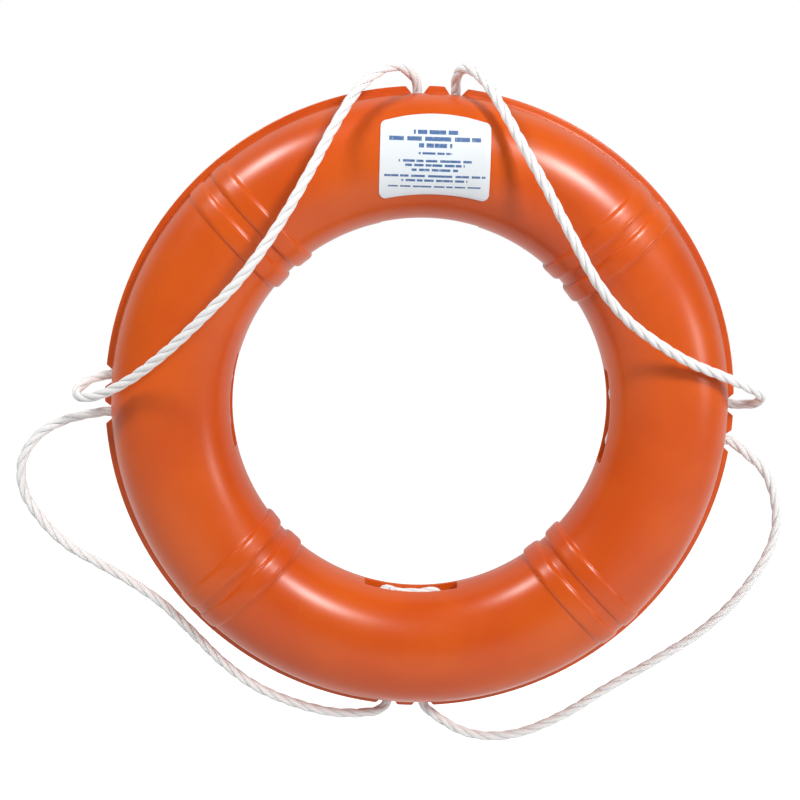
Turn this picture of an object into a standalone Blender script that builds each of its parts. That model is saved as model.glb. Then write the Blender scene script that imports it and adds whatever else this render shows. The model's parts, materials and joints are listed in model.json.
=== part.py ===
"""Life ring: a foam-filled plastic ring with a grab line threaded through four pairs of holes.

Metres, +Z up. The ring stands upright as it hangs on a wall: its axis is Y, its front faces -Y,
and the origin is at the centre of the ring.
"""

import math

import bmesh
import bpy
from mathutils import Matrix, Vector

# Ring section
OUTER_RADIUS = 0.305  # over the rib: a 24 inch ring
RIB_HEIGHT = 0.0065
RIB_THICKNESS = 0.010
RIB_CHAMFER = 0.0012
HOLE_RADIUS = 0.1825
DEPTH = 0.108  # front to back
WALL = 0.0035
SECTION_POWER = 2.15  # a little squarer than an ellipse
GAP = 0.0003  # between pieces that touch

BODY_RADIUS = OUTER_RADIUS - RIB_HEIGHT
MIDDLE_RADIUS = (BODY_RADIUS + HOLE_RADIUS) / 2
HALF_WIDTH = (BODY_RADIUS - HOLE_RADIUS) / 2
HALF_DEPTH = DEPTH / 2

# Fineness of the turned shapes
SHELL_STEPS = 72
SHELL_POINTS = 22
CORE_STEPS = 48
CORE_POINTS = 16

# Raised bands, two at each diagonal
BAND_HEIGHT = 0.0037
BAND_WIDTH = 0.018
BAND_VALLEY = 0.010
DIAGONALS = (45, 135, 225, 315)

# Grab line, and its holes through the ring, two at each station
ROPE_DIAMETER = 0.0095
ROPE_HOLE_CLEARANCE = 0.00075
EXIT_DEPTH = 0.002  # of the point where each loop turns, under the rib's edge
EXIT_OFFSET = 0.018  # of each exit from the middle of its station
MOUTH_OFFSET = 0.030  # of each hole's inner end
STATIONS = {"top": 0, "right": 90, "bottom": 180, "left": 270}  # clockwise from the top
SLEEVE_WALL = 0.0015
SLEEVE_SHORTFALL = 0.0026  # of each sleeve's outer end, inside the outer wall
SLEEVE_TILT_ROOM = 0.0008

# Recess in the ring's inner wall at each station
RECESS_LENGTH = 0.092
RECESS_WIDTH = 0.020  # front to back: two ropes side by side
RECESS_DEPTH = 0.014

# Notch in the rib at each exit
NOTCH_BITE = 0.0012  # into the body under the rib
NOTCH_FLARE = 0.006  # wider on each side at the rib's edge than at its root
NOTCH_WIDTH = 0.018  # front to back

# Label on the front, under the top station
LABEL_WIDTH = 0.100
LABEL_HEIGHT = 0.072
LABEL_RISE = 0.0015  # of its middle over the middle of the section
LABEL_TOP_ARCH = 0.010
LABEL_BOTTOM_ARCH = 0.005
LABEL_CORNER = 0.006
LABEL_THICKNESS = 0.0004

# Plugs in the back: one where the foam goes in, one where the air comes out
PLUG_ANGLES = {"fill_plug": 202.5, "vent_plug": 22.5}
PLUG_HEAD_RADIUS = 0.012
PLUG_STEM_RADIUS = 0.008
PLUG_SEAT_DEPTH = 0.0020
PLUG_HEAD_THICKNESS = 0.0015

# Sizes that follow from those above
ROPE_RADIUS = ROPE_DIAMETER / 2
ROPE_HOLE_RADIUS = ROPE_RADIUS + ROPE_HOLE_CLEARANCE
SLEEVE_RADIUS = ROPE_HOLE_RADIUS + SLEEVE_WALL
EXIT_RADIUS = OUTER_RADIUS - EXIT_DEPTH
RECESS_FLOOR = HOLE_RADIUS + RECESS_DEPTH
NOTCH_FLOOR = BODY_RADIUS - NOTCH_BITE
LABEL_TOP = MIDDLE_RADIUS + LABEL_RISE + LABEL_HEIGHT / 2
LABEL_BOTTOM = LABEL_TOP - LABEL_HEIGHT
PAST = 0.03  # how far a cutter runs past what it cuts

# Spacing of the rope's points
LOOP_POINT_SPACING = 4.2 * ROPE_DIAMETER
HELD_POINT_SPACING = 1.1 * ROPE_DIAMETER
BEND_WEIGHT = 0.035  # metres of straight rope that share their points with one radian of bend
HELD_BEND_WEIGHT = 0.030

# The loops' routes, in millimetres, from one exit to the next
ROUTES_MM = {
    "grab_loop_top_left": [
        (-24, -6, 314), (-38, -19, 320), (-55, -34, 313), (-72, -48, 296), (-90, -63, 265),
        (-109, -80, 225), (-136, -95, 173), (-167, -100, 126), (-200, -94, 89), (-236, -80, 53),
        (-271, -62, 24), (-302, -47, 6), (-322, -33, 1), (-328, -18, 5), (-318, -5, 14),
    ],
    "grab_loop_top_right": [
        (18, -7, 315), (25, -20, 321), (38, -34, 313), (53, -50, 293), (74, -72, 257),
        (98, -89, 217), (122, -99, 176), (147, -100, 137), (176, -94, 106), (208, -84, 84),
        (242, -70, 66), (276, -55, 53), (304, -42, 42), (324, -27, 31), (322, -10, 21),
    ],
    "grab_loop_bottom_right": [
        (309, -1, -21), (319, -3, -28), (340, -6, -46), (353, -8, -75), (356, -9, -107),
        (346, -10, -139), (324, -9, -177), (292, -7, -213), (250, -6, -245), (203, -6, -277),
        (160, -6, -308), (118, -5, -329), (86, -3, -335), (60, -2, -331), (38, -1, -320),
        (24, -1, -310),
    ],
    "grab_loop_bottom_left": [
        (-21, -1, -309), (-29, -1, -314), (-42, -2, -316), (-70, -2, -317), (-108, -3, -309),
        (-150, -4, -292), (-185, -4, -267), (-216, -4, -237), (-246, -4, -209), (-277, -4, -188),
        (-310, -6, -169), (-340, -8, -151), (-365, -9, -126), (-382, -9, -97), (-383, -8, -68),
        (-368, -6, -43), (-344, -4, -28), (-321, -2, -21), (-310, -1, -19),
    ],
}
LOOP_ENDS = {
    "grab_loop_top_left": (("top", -1), ("left", 1)),
    "grab_loop_top_right": (("top", 1), ("right", -1)),
    "grab_loop_bottom_right": (("right", 1), ("bottom", -1)),
    "grab_loop_bottom_left": (("bottom", 1), ("left", -1)),
}

# Rope in the recesses, in millimetres: along the station, front to back, and under the floor
THROUGH_MM = [(29.3, 0, 6.0), (26.0, 0, 8.9), (20.5, 0, 8.7), (14.0, 0, 6.9), (7.0, 0, 5.5)]
THROUGH_MIDDLE_MM = (0, 0, 5.2)
NEAR_END_MM = [
    (-29.4, -1.2, 6.4), (-26.5, -3.5, 10.8), (-20.5, -4.9, 12.4), (-14.0, -4.95, 11.2),
    (-6.0, -4.95, 10.2), (2.0, -4.95, 10.0), (10.0, -4.95, 10.0), (19.5, -4.95, 10.0),
]
FAR_END_MM = [
    (29.4, 1.2, 6.0), (26.2, 3.3, 9.2), (20.5, 4.8, 9.0), (14.0, 4.95, 7.4), (6.0, 4.95, 6.0),
    (-2.0, 4.95, 5.6), (-10.0, 4.95, 5.6), (-16.0, 4.95, 5.8), (-21.0, 4.95, 6.0),
]


def clear_scene():
    for obj in list(bpy.data.objects):
        bpy.data.objects.remove(obj, do_unlink=True)


def new_collection(name, parent=None):
    made = bpy.data.collections.new(name)
    (parent or bpy.context.scene.collection).children.link(made)
    return made


def new_material(name, color, roughness):
    made = bpy.data.materials.new(name)
    made.use_nodes = True
    shader = made.node_tree.nodes["Principled BSDF"]
    shader.inputs["Base Color"].default_value = (*color, 1.0)
    shader.inputs["Roughness"].default_value = roughness
    shader.inputs["Metallic"].default_value = 0.0
    return made


def add_object(name, data, collection, material=None, parent=None):
    made = bpy.data.objects.new(name, data)
    collection.objects.link(made)
    made.parent = parent
    if material and not data.materials:
        data.materials.append(material)
    return made


def add_guide(name, angle):
    """An empty on the ring's axis, turned to an angle, which carries what lies at that angle."""
    made = bpy.data.objects.new(name, None)
    made.rotation_euler.y = math.radians(angle)
    parts.objects.link(made)
    return made


def as_cutter(obj):
    obj.hide_render = True
    obj.display_type = "WIRE"
    return obj


def boolean(obj, operation, operand):
    modifier = obj.modifiers.new(operation.lower(), "BOOLEAN")
    modifier.operation = operation
    modifier.solver = "EXACT"
    if isinstance(operand, bpy.types.Collection):
        modifier.operand_type = "COLLECTION"
        modifier.collection = operand
    else:
        modifier.object = operand


def smooth(mesh, angle=30):
    mesh.shade_smooth()
    mesh.set_sharp_from_angle(angle=math.radians(angle))


def section_point(half_width, half_depth, turn):
    """Radius and depth of the section's outline at a turn of its rounded shape."""
    across = math.cos(turn)
    along = math.sin(turn)
    power = 2 / SECTION_POWER
    radius = MIDDLE_RADIUS + half_width * math.copysign(abs(across) ** power, across)
    depth = half_depth * math.copysign(abs(along) ** power, along)
    return radius, depth


def section(grown, count):
    """The section's closed outline, grown by that much all round, flat behind the rib."""
    base = math.asin((RIB_THICKNESS / DEPTH) ** (SECTION_POWER / 2))
    span = 2 * math.pi - 2 * base
    turns = [base + span * k / count for k in range(count + 1)]
    return [section_point(HALF_WIDTH + grown, HALF_DEPTH + grown, turn) for turn in turns]


def rib_outline():
    """The rib's four corners, which close the ring's outline on its outer side."""
    half = RIB_THICKNESS / 2
    return [
        (OUTER_RADIUS - RIB_CHAMFER, -half),
        (OUTER_RADIUS, -half + RIB_CHAMFER),
        (OUTER_RADIUS, half - RIB_CHAMFER),
        (OUTER_RADIUS - RIB_CHAMFER, half),
    ]


def turned_ring(name, outline, steps, collection, material=None):
    """A closed outline of (radius, depth) turned about the ring's axis."""
    mesh = bpy.data.meshes.new(name)
    shape = bmesh.new()
    corners = [shape.verts.new((radius, depth, 0.0)) for radius, depth in outline]
    for first, second in zip(corners, corners[1:] + corners[:1]):
        shape.edges.new((first, second))
    shape.to_mesh(mesh)
    shape.free()
    made = add_object(name, mesh, collection, material)
    screw = made.modifiers.new("turn", "SCREW")
    screw.axis = "Y"
    screw.angle = 2 * math.pi
    screw.steps = steps
    screw.render_steps = steps
    screw.use_merge_vertices = True
    screw.merge_threshold = 0.00001
    screw.use_normal_flip = True
    screw.use_smooth_shade = True
    return made


def box_mesh(name, low, high):
    """A box between two corners, from a unit cube."""
    mesh = bpy.data.meshes.new(name)
    shape = bmesh.new()
    bmesh.ops.create_cube(shape, size=1.0)
    size = Vector(high) - Vector(low)
    middle = (Vector(high) + Vector(low)) / 2
    shape.transform(Matrix.Translation(middle) @ Matrix.Diagonal((*size, 1.0)))
    shape.to_mesh(mesh)
    shape.free()
    return mesh


def rod_mesh(name, radius, low, high, sides=20):
    """A cylinder along Z between two heights."""
    mesh = bpy.data.meshes.new(name)
    shape = bmesh.new()
    bmesh.ops.create_cone(
        shape, cap_ends=True, segments=sides, radius1=radius, radius2=radius, depth=high - low
    )
    shape.transform(Matrix.Translation((0, 0, (low + high) / 2)))
    shape.to_mesh(mesh)
    shape.free()
    return mesh


def tube_mesh(name, outer, inner, low, high, sides=20):
    """A length of pipe along Z: a square profile turned about Z."""
    mesh = bpy.data.meshes.new(name)
    shape = bmesh.new()
    profile = [(outer, high), (outer, low), (inner, low), (inner, high)]
    corners = [shape.verts.new((radius, 0.0, height)) for radius, height in profile]
    edges = [shape.edges.new(pair) for pair in zip(corners, corners[1:] + corners[:1])]
    bmesh.ops.spin(
        shape,
        geom=corners + edges,
        axis=(0, 0, 1),
        cent=(0, 0, 0),
        steps=sides,
        angle=2 * math.pi,
        use_merge=True,
    )
    bmesh.ops.recalc_face_normals(shape, faces=shape.faces)
    shape.to_mesh(mesh)
    shape.free()
    return mesh


def place_on_hole(obj, side):
    """Puts an object made along Z at x = 0 on the line of one rope hole of the top station."""
    obj.location = (side * MOUTH_OFFSET, 0, RECESS_FLOOR)
    obj.rotation_euler.y = -side * hole_lean


def exit_point(station, side):
    """Where the rope leaves the ring: a point of the top station, turned to the named one."""
    height = math.sqrt(EXIT_RADIUS**2 - EXIT_OFFSET**2)
    turn = Matrix.Rotation(math.radians(STATIONS[station]), 4, "Y")
    return turn @ Vector((side * EXIT_OFFSET, 0, height))


def under_floor(point_mm):
    """A point of a recess's rope, whose third number counts down from the recess's floor."""
    along, across, drop = point_mm
    return Vector((along / 1000, across / 1000, RECESS_FLOOR - drop / 1000))


def label_outline():
    """The label's outline in the ring's plane, as (x, height) points."""
    inner = LABEL_WIDTH / 2 - LABEL_CORNER
    outline = []
    for sign_x, sign_z in ((1, 1), (-1, 1), (-1, -1), (1, -1)):
        arch = LABEL_TOP_ARCH if sign_z > 0 else LABEL_BOTTOM_ARCH
        edge = LABEL_TOP - arch if sign_z > 0 else LABEL_BOTTOM - arch
        start = math.atan2(sign_z, sign_x) - math.pi / 4
        for k in range(5):
            turn = start + math.pi / 2 * k / 4
            x = sign_x * inner + LABEL_CORNER * math.cos(turn)
            outline.append((x, edge - sign_z * LABEL_CORNER + LABEL_CORNER * math.sin(turn)))
        if sign_x * sign_z > 0:
            for k in range(1, 10):
                share = 1 - k / 5
                outline.append((sign_x * inner * share, edge + arch * (1 - share**2)))
    return outline


def smooth_route(points, spacing, bend_weight=0.0):
    """Points on a centripetal Catmull-Rom curve through the route's points, closer in its bends."""
    knots = [2 * points[0] - points[1], *points, 2 * points[-1] - points[-2]]
    fine = []
    for a, b, c, d in zip(knots, knots[1:], knots[2:], knots[3:]):
        t1 = (b - a).length ** 0.5
        t2 = t1 + (c - b).length ** 0.5
        t3 = t2 + (d - c).length ** 0.5
        for k in range(24):
            t = t1 + (t2 - t1) * k / 24
            ab = a.lerp(b, t / t1)
            bc = b.lerp(c, (t - t1) / (t2 - t1))
            cd = c.lerp(d, (t - t2) / (t3 - t2))
            first = ab.lerp(bc, t / t2)
            second = bc.lerp(cd, (t - t1) / (t3 - t1))
            fine.append(first.lerp(second, (t - t1) / (t2 - t1)))
    fine.append(points[-1])
    steps = [after - before for before, after in zip(fine, fine[1:])]
    reach = [0.0, steps[0].length]
    for before, after in zip(steps, steps[1:]):
        reach.append(reach[-1] + after.length + bend_weight * before.angle(after))
    count = round(reach[-1] / spacing)
    spaced = []
    at = 0
    for k in range(count + 1):
        goal = reach[-1] * k / count
        while at < len(reach) - 2 and reach[at + 1] < goal:
            at += 1
        share = (goal - reach[at]) / (reach[at + 1] - reach[at])
        spaced.append(fine[at].lerp(fine[at + 1], share))
    return spaced


def rope(name, points, material, parent=None, origin=(0, 0, 0), round_ends=False):
    """A rope as a round tube along its points, which are given in the parent's frame."""
    radii = [1.0] * len(points)
    if round_ends:
        turn = math.radians(45)
        first = (points[0] - points[1]).normalized() * ROPE_RADIUS * math.sin(turn)
        last = (points[-1] - points[-2]).normalized() * ROPE_RADIUS * math.sin(turn)
        points = [points[0] + first, *points, points[-1] + last]
        radii = [math.cos(turn), *radii, math.cos(turn)]
    curve = bpy.data.curves.new(name, "CURVE")
    curve.dimensions = "3D"
    curve.bevel_depth = ROPE_RADIUS
    curve.bevel_resolution = 2
    curve.use_fill_caps = True
    spline = curve.splines.new("POLY")
    spline.points.add(len(points) - 1)
    for knot, point, radius in zip(spline.points, points, radii):
        knot.co = (*(point - Vector(origin)), 1.0)
        knot.radius = radius
    spline.use_smooth = True
    made = add_object(name, curve, parts, material, parent)
    made.location = origin
    return made


clear_scene()
parts = new_collection("life_ring")
cutters = new_collection("cutters")

orange = new_material("shell_orange", (0.72, 0.12, 0.02), 0.35)
foam_cream = new_material("core_foam", (0.85, 0.78, 0.55), 0.9)
rope_white = new_material("rope_white", (0.86, 0.85, 0.82), 0.7)
sleeve_grey = new_material("sleeve_plastic", (0.72, 0.72, 0.70), 0.5)
label_white = new_material("label_white", (0.85, 0.88, 0.90), 0.4)

# Guides that carry what repeats at each station
station_guides = {name: add_guide(f"station_{name}", angle) for name, angle in STATIONS.items()}

# Recesses: the opening that each shell is cut back to, its walls, and the room in the core
recess_cutters = new_collection("recess_cutters", cutters)
pocket_blocks = new_collection("pocket_blocks", cutters)
core_pockets = new_collection("core_pockets", cutters)
half_length = RECESS_LENGTH / 2
half_recess = RECESS_WIDTH / 2
for collection, grown in ((recess_cutters, 0.0), (pocket_blocks, WALL), (core_pockets, WALL + GAP)):
    mesh = box_mesh(
        collection.name,
        (-half_length - grown, -half_recess - grown, HOLE_RADIUS - PAST),
        (half_length + grown, half_recess + grown, RECESS_FLOOR + grown),
    )
    for name, guide in station_guides.items():
        as_cutter(add_object(f"{collection.name}_{name}", mesh, collection, parent=guide))

# Rope holes, from each recess out to the rib, and the wider bores in the core round their sleeves
hole_lean = math.atan2(MOUTH_OFFSET - EXIT_OFFSET, EXIT_RADIUS - RECESS_FLOOR)
hole_top = (EXIT_RADIUS - RECESS_FLOOR) / math.cos(hole_lean) + PAST / 2
rope_hole_cutters = new_collection("rope_hole_cutters", cutters)
core_hole_cutters = new_collection("core_hole_cutters", cutters)
rope_hole_mesh = rod_mesh("rope_hole", ROPE_HOLE_RADIUS, -WALL, hole_top, 16)
core_hole_mesh = rod_mesh("core_hole", SLEEVE_RADIUS + GAP, -WALL, hole_top)
for collection, mesh in ((rope_hole_cutters, rope_hole_mesh), (core_hole_cutters, core_hole_mesh)):
    for name, guide in station_guides.items():
        for side, word in ((-1, "a"), (1, "b")):
            cutter = as_cutter(add_object(f"{mesh.name}_{name}_{word}", mesh, collection, parent=guide))
            place_on_hole(cutter, side)

# Notches: the rib is cut away round each exit, wider towards its edge
notch_cutters = new_collection("notch_cutters", cutters)
notch_top = OUTER_RADIUS + PAST
notch_mesh = box_mesh(
    "notch",
    (-ROPE_RADIUS, -NOTCH_WIDTH / 2, NOTCH_FLOOR),
    (ROPE_RADIUS, NOTCH_WIDTH / 2, notch_top),
)
for corner in notch_mesh.vertices:
    if corner.co.z > OUTER_RADIUS:
        slope = NOTCH_FLARE / (OUTER_RADIUS - NOTCH_FLOOR)
        corner.co.x += math.copysign(slope * (notch_top - NOTCH_FLOOR), corner.co.x)
for name, angle in STATIONS.items():
    for side, word in ((-1, "a"), (1, "b")):
        notch = as_cutter(add_object(f"notch_{name}_{word}", notch_mesh, notch_cutters))
        notch.rotation_euler.y = math.radians(angle) + side * math.asin(EXIT_OFFSET / EXIT_RADIUS)

# Hollow inside the shells, which stays clear of the recesses' walls
hollow = as_cutter(turned_ring("hollow", section(-WALL, CORE_POINTS), CORE_STEPS, cutters))
boolean(hollow, "DIFFERENCE", pocket_blocks)

# Bands: a slightly fatter ring, kept only inside a pair of slabs across each diagonal
bands = as_cutter(turned_ring("bands", section(BAND_HEIGHT, SHELL_POINTS), SHELL_STEPS, cutters))
slabs_mesh = bpy.data.meshes.new("band_slabs")
shape = bmesh.new()
slab_size = (BAND_WIDTH, 2 * DEPTH, OUTER_RADIUS - HOLE_RADIUS + 2 * PAST)
for angle in DIAGONALS:
    turn = Matrix.Rotation(math.radians(angle), 4, "Y")
    for side in (-1, 1):
        middle = (side * (BAND_VALLEY + BAND_WIDTH) / 2, 0, (OUTER_RADIUS + HOLE_RADIUS) / 2)
        place = turn @ Matrix.Translation(middle) @ Matrix.Diagonal((*slab_size, 1.0))
        bmesh.ops.create_cube(shape, size=1.0, matrix=place)
shape.to_mesh(slabs_mesh)
shape.free()
slabs = as_cutter(add_object("band_slabs", slabs_mesh, cutters))
boolean(bands, "INTERSECT", slabs)

# Shells: two moulded halves that meet at the rib's middle, with a hair of a seam between them
for name, side in (("front_shell", -1), ("rear_shell", 1)):
    shell = turned_ring(name, section(0.0, SHELL_POINTS) + rib_outline(), SHELL_STEPS, parts, orange)
    boolean(shell, "UNION", bands)
    boolean(shell, "DIFFERENCE", recess_cutters)
    boolean(shell, "DIFFERENCE", notch_cutters)
    boolean(shell, "DIFFERENCE", rope_hole_cutters)
    boolean(shell, "DIFFERENCE", hollow)
    low, high = sorted((side * GAP / 2, -side * DEPTH))
    reach = 2 * OUTER_RADIUS
    other_half = box_mesh(f"{name}_other_half", (-reach, low, -reach), (reach, high, reach))
    boolean(shell, "DIFFERENCE", as_cutter(add_object(other_half.name, other_half, cutters)))
rear_shell = bpy.data.objects["rear_shell"]

# Foam core: fills the hollow, and is cast round the recesses and the sleeves
core = turned_ring("foam_core", section(-WALL - GAP, CORE_POINTS), CORE_STEPS, parts, foam_cream)
boolean(core, "DIFFERENCE", core_pockets)
boolean(core, "DIFFERENCE", core_hole_cutters)

# Sleeves: short pipes that carry the rope through the foam, two at each station
sleeve_low = WALL / math.cos(hole_lean) + GAP + SLEEVE_TILT_ROOM
sleeve_high = (BODY_RADIUS - WALL - SLEEVE_SHORTFALL - RECESS_FLOOR) / math.cos(hole_lean)
sleeve_mesh = tube_mesh("rope_sleeve", SLEEVE_RADIUS, ROPE_HOLE_RADIUS, sleeve_low, sleeve_high)
sleeve_mesh.materials.append(sleeve_grey)
smooth(sleeve_mesh)
for name, guide in station_guides.items():
    for side, word in ((-1, "a"), (1, "b")):
        sleeve = add_object(f"rope_sleeve_{name}_{word}", sleeve_mesh, parts, parent=guide)
        place_on_hole(sleeve, side)

# Plugs: flat heads let into the back, each on a stem through the wall
seat = HALF_DEPTH - PLUG_SEAT_DEPTH
inside = HALF_DEPTH - WALL
head_low = seat + GAP
seat_mesh = rod_mesh("plug_seat", PLUG_HEAD_RADIUS + GAP, seat, HALF_DEPTH + PAST, 28)
bore_mesh = rod_mesh("plug_bore", PLUG_STEM_RADIUS + GAP, inside - WALL, seat + WALL)
head_mesh = rod_mesh("plug_head", PLUG_HEAD_RADIUS, head_low, head_low + PLUG_HEAD_THICKNESS, 28)
stem_mesh = rod_mesh("plug_stem", PLUG_STEM_RADIUS, inside, head_low + PLUG_HEAD_THICKNESS / 2)
for name, angle in PLUG_ANGLES.items():
    guide = add_guide(f"{name}_guide", angle)
    plug = add_object(name, stem_mesh, parts, orange, guide)
    for mesh in (seat_mesh, bore_mesh, head_mesh):
        as_cutter(add_object(f"{name}_{mesh.name}", mesh, cutters, parent=guide))
    for child in guide.children:
        child.location = (0, 0, MIDDLE_RADIUS)
        child.rotation_euler.x = -math.pi / 2
    boolean(rear_shell, "DIFFERENCE", bpy.data.objects[f"{name}_plug_seat"])
    boolean(rear_shell, "DIFFERENCE", bpy.data.objects[f"{name}_plug_bore"])
    boolean(plug, "UNION", bpy.data.objects[f"{name}_plug_head"])

# Label: a thin sheet on the front's curve, with arched ends and round corners
outline_curve = bpy.data.curves.new("label_outline", "CURVE")
outline_curve.dimensions = "2D"
outline_curve.fill_mode = "BOTH"
outline_curve.extrude = DEPTH / 2
outline_spline = outline_curve.splines.new("POLY")
outline_points = label_outline()
outline_spline.points.add(len(outline_points) - 1)
for knot, (x, height) in zip(outline_spline.points, outline_points):
    knot.co = (x, height, 0.0, 1.0)
outline_spline.use_cyclic_u = True
outline_object = add_object("label_outline", outline_curve, cutters)
bpy.context.view_layer.update()
graph = bpy.context.evaluated_depsgraph_get()
prism_mesh = bpy.data.meshes.new_from_object(outline_object.evaluated_get(graph))
bpy.data.objects.remove(outline_object)
shape = bmesh.new()
shape.from_mesh(prism_mesh)
bmesh.ops.remove_doubles(shape, verts=shape.verts, dist=0.00001)
bmesh.ops.recalc_face_normals(shape, faces=shape.faces)
prism_back = HALF_DEPTH - WALL  # the prism runs through the front and stops short of the back
upright = Matrix.Rotation(math.pi / 2, 4, "X")
shape.transform(Matrix.Translation((0, -HALF_DEPTH - DEPTH / 2 + prism_back, 0)) @ upright)
shape.to_mesh(prism_mesh)
shape.free()
prism = as_cutter(add_object("label_prism", prism_mesh, cutters))
under = as_cutter(turned_ring("label_under", section(GAP, SHELL_POINTS), SHELL_STEPS, cutters))
label_section = section(GAP + LABEL_THICKNESS, SHELL_POINTS)
label = turned_ring("label", label_section, SHELL_STEPS, parts, label_white)
boolean(label, "DIFFERENCE", under)
boolean(label, "INTERSECT", prism)

# Rope that the ring holds: in by one hole, along the recess and out by the other
mouth_corner = Vector((MOUTH_OFFSET, 0, RECESS_FLOOR))
inward = (mouth_corner - exit_point("top", 1)).normalized()
held_start = exit_point("top", 1) + inward * (ROPE_RADIUS + GAP)
held_points = [held_start, held_start.lerp(mouth_corner, 0.5), mouth_corner]
half_route = held_points + [under_floor(point) for point in THROUGH_MM]
other_half = [Vector((-point.x, point.y, point.z)) for point in reversed(half_route)]
through_route = half_route + [under_floor(THROUGH_MIDDLE_MM)] + other_half
for name in ("top", "right", "left"):
    points = smooth_route(through_route, HELD_POINT_SPACING, HELD_BEND_WEIGHT)
    rope(f"rope_through_{name}", points, rope_white, station_guides[name])

# At the bottom the line's two sealed ends lie one behind the other in the recess
for name, side, turn_mm in (("rope_end_near", -1, NEAR_END_MM), ("rope_end_far", 1, FAR_END_MM)):
    held = [Vector((side * point.x, point.y, point.z)) for point in held_points]
    route = held + [under_floor(point) for point in turn_mm]
    points = smooth_route(route, HELD_POINT_SPACING, HELD_BEND_WEIGHT)
    rope(name, points, rope_white, station_guides["bottom"])

# Grab loops: each turns about the line through its two exits, where its round ends sit
for name, (first, last) in LOOP_ENDS.items():
    start = exit_point(*first)
    middle = [Vector(point) / 1000 for point in ROUTES_MM[name]]
    points = smooth_route([start, *middle, exit_point(*last)], LOOP_POINT_SPACING, BEND_WEIGHT)
    rope(name, points, rope_white, origin=start, round_ends=True)
    length = sum((after - before).length for before, after in zip(points, points[1:]))
    print(name, "length", round(length, 4), "points", len(points))
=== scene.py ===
import json
import math

import bmesh
import bpy
from mathutils import Matrix, Vector, noise

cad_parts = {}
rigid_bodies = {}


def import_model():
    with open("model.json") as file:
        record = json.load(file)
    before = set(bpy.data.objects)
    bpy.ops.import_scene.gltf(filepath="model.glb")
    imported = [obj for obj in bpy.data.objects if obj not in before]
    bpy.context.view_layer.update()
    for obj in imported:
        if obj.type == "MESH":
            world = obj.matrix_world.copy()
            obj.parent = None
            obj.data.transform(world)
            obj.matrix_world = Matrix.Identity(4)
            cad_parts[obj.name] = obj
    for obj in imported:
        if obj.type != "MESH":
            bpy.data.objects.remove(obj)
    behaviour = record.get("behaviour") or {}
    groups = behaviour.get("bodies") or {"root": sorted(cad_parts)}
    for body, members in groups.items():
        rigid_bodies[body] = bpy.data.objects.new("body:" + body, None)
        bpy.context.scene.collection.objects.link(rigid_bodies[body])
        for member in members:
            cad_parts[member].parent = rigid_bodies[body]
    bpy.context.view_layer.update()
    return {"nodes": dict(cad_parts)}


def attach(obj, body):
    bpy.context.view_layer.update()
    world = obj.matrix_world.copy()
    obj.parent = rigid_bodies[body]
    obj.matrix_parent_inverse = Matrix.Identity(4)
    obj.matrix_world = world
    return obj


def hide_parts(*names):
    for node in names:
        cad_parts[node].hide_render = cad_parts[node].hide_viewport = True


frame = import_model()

# The studio: the ring hangs upright in front of white, well above a pale floor. The camera
# stands a little above it and is tilted, as in the photograph. None of this is the object.


class Value:
    """A node's output that takes part in plain arithmetic, each sign adding a Math node."""

    def __init__(self, nodes, socket):
        self.nodes = nodes
        self.socket = socket

    def maths(self, operation, first, second=0.5):
        feeds = {0: first, 1: second}
        return self.nodes.add("ShaderNodeMath", {"operation": operation}, feeds)

    def __add__(self, other):
        return self.maths("ADD", self, other)

    __radd__ = __add__

    def __mul__(self, other):
        return self.maths("MULTIPLY", self, other)

    __rmul__ = __mul__

    def __sub__(self, other):
        return self.maths("SUBTRACT", self, other)

    def __rsub__(self, other):
        return self.maths("SUBTRACT", other, self)

    def __lt__(self, other):
        return self.maths("LESS_THAN", self, other)

    def __gt__(self, other):
        return self.maths("GREATER_THAN", self, other)

    def __abs__(self):
        return self.maths("ABSOLUTE", self)

    def sine(self):
        return self.maths("SINE", self)

    def lowest(self, other):
        return self.maths("MINIMUM", self, other)

    def highest(self, other):
        return self.maths("MAXIMUM", self, other)

    def rise(self, low, high):
        """Runs smoothly from 0 at the low value to 1 at the high one."""
        feeds = {"Value": self, "From Min": low, "From Max": high}
        return self.nodes.add("ShaderNodeMapRange", {"interpolation_type": "SMOOTHSTEP"}, feeds)


class Nodes:
    """The shader nodes of a material or of the world."""

    def __init__(self, owner):
        owner.use_nodes = True
        self.tree = owner.node_tree

    def add(self, kind, settings, feeds, output=0):
        """Adds one node: its settings first, then the values or links of its sockets."""
        node = self.tree.nodes.new(kind)
        for name, setting in settings.items():
            setattr(node, name, setting)
        for name, feed in feeds.items():
            self.feed(node.inputs[name], feed)
        return Value(self, node.outputs[output])

    def feed(self, socket, feed):
        if isinstance(feed, Value):
            self.tree.links.new(feed.socket, socket)
        else:
            socket.default_value = feed

    def mix(self, factor, first, second):
        """Blends two colours."""
        return self.add("ShaderNodeMix", {"data_type": "RGBA"}, {0: factor, 6: first, 7: second}, 2)

    def seen(self):
        """1 where the camera looks straight at something, or sees it in gloss or through glass."""
        ray = [self.add("ShaderNodeLightPath", {}, {}, kind)
               for kind in ("Is Camera Ray", "Is Glossy Ray", "Is Transmission Ray")]
        return (ray[0] + ray[1] + ray[2]).lowest(1.0)


scene = bpy.context.scene
scene.view_settings.view_transform = "Standard"

eye = Vector((-0.0437, -1.2451, 0.2236))
looks_at = Vector((-0.0198, 0.0, 0.0065))
roll = math.radians(2.85)
backward = (eye - looks_at).normalized()
level = Vector((0, 0, 1)).cross(backward).normalized()
upward = backward.cross(level)
camera_data = bpy.data.cameras.new("camera")
camera_data.sensor_width = 36.0
camera_data.lens = 58.5
camera = bpy.data.objects.new("camera", camera_data)
scene.collection.objects.link(camera)
turned = Matrix((level, upward, backward)).transposed() @ Matrix.Rotation(roll, 3, "Z")
camera.matrix_world = Matrix.Translation(eye) @ turned.to_4x4()
scene.camera = camera

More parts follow.
